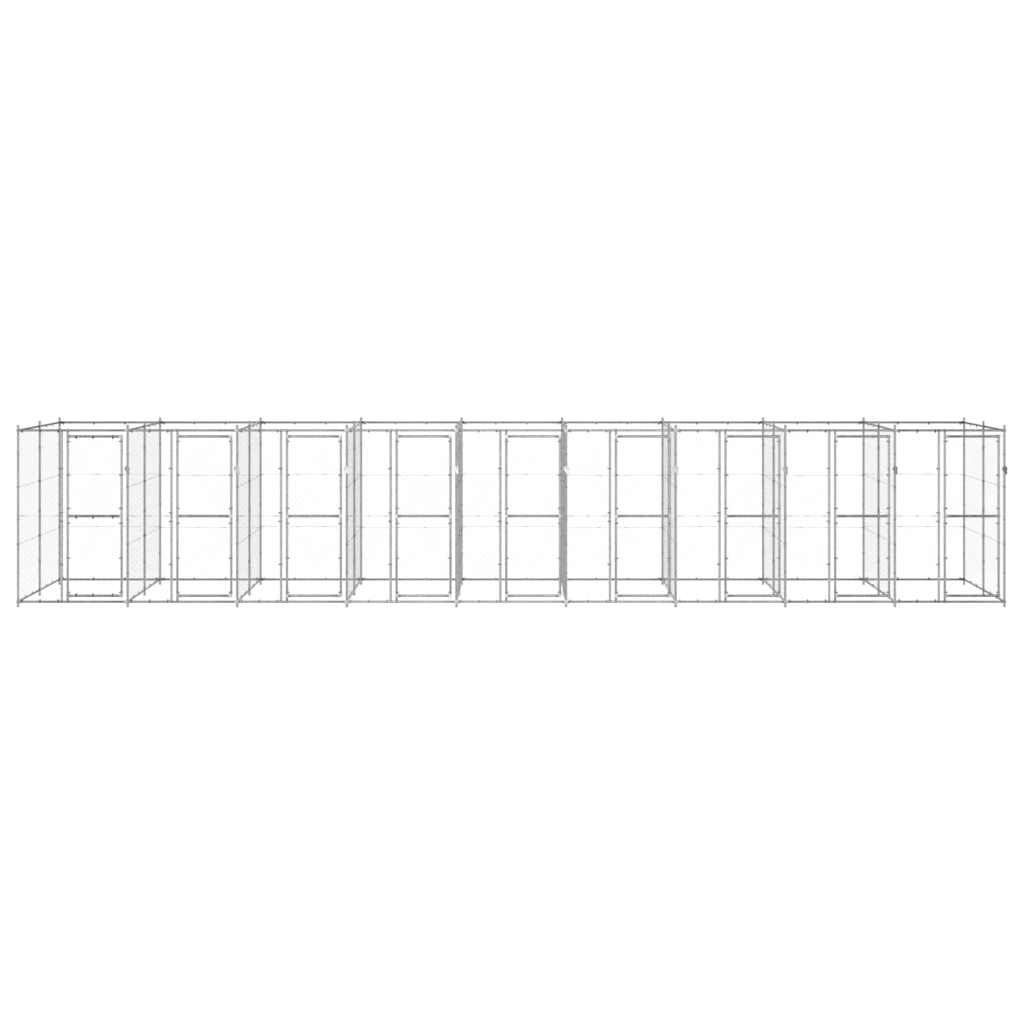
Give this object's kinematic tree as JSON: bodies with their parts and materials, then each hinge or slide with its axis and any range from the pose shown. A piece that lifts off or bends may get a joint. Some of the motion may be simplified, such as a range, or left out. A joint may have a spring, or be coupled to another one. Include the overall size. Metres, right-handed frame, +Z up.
{
  "type": "outdoor dog kennel run",
  "caption": "Straight row of open-topped dog kennel bays in galvanised steel tube with wire mesh walls, a hinged front door in each bay and a turn latch on the post beside it.",
  "frame": {"origin": "on the ground, in the middle of the row: halfway between the end posts and halfway between the front and rear posts", "axes": "+X along the row to the right as seen from the front, -Y towards the front where the doors are, +Z up"},
  "size_m": [9.9405, 2.2507, 1.83],
  "materials": {
    "post_tube": "hot-dip galvanised steel tube, satin grey with a faint mottle",
    "rail_tube": "hot-dip galvanised steel tube, satin grey with a faint mottle",
    "door_tube": "hot-dip galvanised steel tube, riveted and welded, satin grey",
    "fastener": "bright zinc plate",
    "end_cap": "moulded plastic, matt dark grey",
    "mesh": null,
    "wire": "galvanised steel wire",
    "clip": "galvanised steel strip, dull grey",
    "latch": "zinc-plated steel plate, smooth"
  },
  "bodies": {
    "run_frame": {"front_posts": "post_tube", "middle_posts": "post_tube", "rear_posts": "post_tube", "post_feet": "end_cap", "post_top_caps": "end_cap", "front_top_rails": "rail_tube", "front_bottom_rails": "rail_tube", "rear_top_rails": "rail_tube", "rear_bottom_rails": "rail_tube", "side_top_rails": "rail_tube", "side_bottom_rails": "rail_tube", "door_uprights": "rail_tube", "corner_bolts": "fastener", "middle_studs": "fastener", "flat_washers": "fastener", "upright_screws": "fastener", "hinge_pins": "fastener", "fixed_front_mesh": "mesh", "rear_mesh": "mesh", "side_mesh": "mesh", "tension_wires": "wire", "mesh_clips": "clip", "latch_bolts": "fastener", "latch_nuts": "fastener"},
    "door_1": {"door_frame_1": "door_tube", "door_mesh_1": "mesh", "door_clips_1": "clip"},
    "latch_1": {"latch_plate_1": "latch"},
    "door_2": {"door_frame_2": "door_tube", "door_mesh_2": "mesh", "door_clips_2": "clip"},
    "latch_2": {"latch_plate_2": "latch"},
    "door_3": {"door_frame_3": "door_tube", "door_mesh_3": "mesh", "door_clips_3": "clip"},
    "latch_3": {"latch_plate_3": "latch"},
    "door_4": {"door_frame_4": "door_tube", "door_mesh_4": "mesh", "door_clips_4": "clip"},
    "latch_4": {"latch_plate_4": "latch"},
    "door_5": {"door_frame_5": "door_tube", "door_mesh_5": "mesh", "door_clips_5": "clip"},
    "latch_5": {"latch_plate_5": "latch"},
    "door_6": {"door_frame_6": "door_tube", "door_mesh_6": "mesh", "door_clips_6": "clip"},
    "latch_6": {"latch_plate_6": "latch"},
    "door_7": {"door_frame_7": "door_tube", "door_mesh_7": "mesh", "door_clips_7": "clip"},
    "latch_7": {"latch_plate_7": "latch"},
    "door_8": {"door_frame_8": "door_tube", "door_mesh_8": "mesh", "door_clips_8": "clip"},
    "latch_8": {"latch_plate_8": "latch"},
    "door_9": {"door_frame_9": "door_tube", "door_mesh_9": "mesh", "door_clips_9": "clip"},
    "latch_9": {"latch_plate_9": "latch"}
  },
  "joints": [
    {"name": "door_1_hinge", "type": "hinge", "parent": "run_frame", "child": "door_1", "pos_m": [-4.45, -1.1048, 0.9155], "axis": [0, 0, -1], "range_deg": [0, 145]},
    {"name": "door_2_hinge", "type": "hinge", "parent": "run_frame", "child": "door_2", "pos_m": [-3.35, -1.1048, 0.9155], "axis": [0, 0, -1], "range_deg": [0, 145]},
    {"name": "door_3_hinge", "type": "hinge", "parent": "run_frame", "child": "door_3", "pos_m": [-2.25, -1.1048, 0.9155], "axis": [0, 0, -1], "range_deg": [0, 145]},
    {"name": "door_4_hinge", "type": "hinge", "parent": "run_frame", "child": "door_4", "pos_m": [-1.15, -1.1048, 0.9155], "axis": [0, 0, -1], "range_deg": [0, 145]},
    {"name": "door_5_hinge", "type": "hinge", "parent": "run_frame", "child": "door_5", "pos_m": [-0.05, -1.1048, 0.9155], "axis": [0, 0, -1], "range_deg": [0, 145]},
    {"name": "door_6_hinge", "type": "hinge", "parent": "run_frame", "child": "door_6", "pos_m": [1.05, -1.1048, 0.9155], "axis": [0, 0, -1], "range_deg": [0, 145]},
    {"name": "door_7_hinge", "type": "hinge", "parent": "run_frame", "child": "door_7", "pos_m": [2.15, -1.1048, 0.9155], "axis": [0, 0, -1], "range_deg": [0, 145]},
    {"name": "door_8_hinge", "type": "hinge", "parent": "run_frame", "child": "door_8", "pos_m": [3.25, -1.1048, 0.9155], "axis": [0, 0, -1], "range_deg": [0, 145]},
    {"name": "door_9_hinge", "type": "hinge", "parent": "run_frame", "child": "door_9", "pos_m": [4.35, -1.1048, 0.9155], "axis": [0, 0, -1], "range_deg": [0, 145]},
    {"name": "latch_1_turn", "type": "hinge", "parent": "run_frame", "child": "latch_1", "pos_m": [-3.85, -1.1204, 1.397], "axis": [0, 1, 0], "range_deg": [0, 104]},
    {"name": "latch_2_turn", "type": "hinge", "parent": "run_frame", "child": "latch_2", "pos_m": [-2.75, -1.1204, 1.397], "axis": [0, 1, 0], "range_deg": [0, 104]},
    {"name": "latch_3_turn", "type": "hinge", "parent": "run_frame", "child": "latch_3", "pos_m": [-1.65, -1.1204, 1.397], "axis": [0, 1, 0], "range_deg": [0, 104]},
    {"name": "latch_4_turn", "type": "hinge", "parent": "run_frame", "child": "latch_4", "pos_m": [-0.55, -1.1204, 1.397], "axis": [0, 1, 0], "range_deg": [0, 104]},
    {"name": "latch_5_turn", "type": "hinge", "parent": "run_frame", "child": "latch_5", "pos_m": [0.55, -1.1204, 1.397], "axis": [0, 1, 0], "range_deg": [0, 104]},
    {"name": "latch_6_turn", "type": "hinge", "parent": "run_frame", "child": "latch_6", "pos_m": [1.65, -1.1204, 1.397], "axis": [0, 1, 0], "range_deg": [0, 104]},
    {"name": "latch_7_turn", "type": "hinge", "parent": "run_frame", "child": "latch_7", "pos_m": [2.75, -1.1204, 1.397], "axis": [0, 1, 0], "range_deg": [0, 104]},
    {"name": "latch_8_turn", "type": "hinge", "parent": "run_frame", "child": "latch_8", "pos_m": [3.85, -1.1204, 1.397], "axis": [0, 1, 0], "range_deg": [0, 104]},
    {"name": "latch_9_turn", "type": "hinge", "parent": "run_frame", "child": "latch_9", "pos_m": [4.95, -1.1204, 1.397], "axis": [0, 1, 0], "range_deg": [0, 104]}
  ]
}
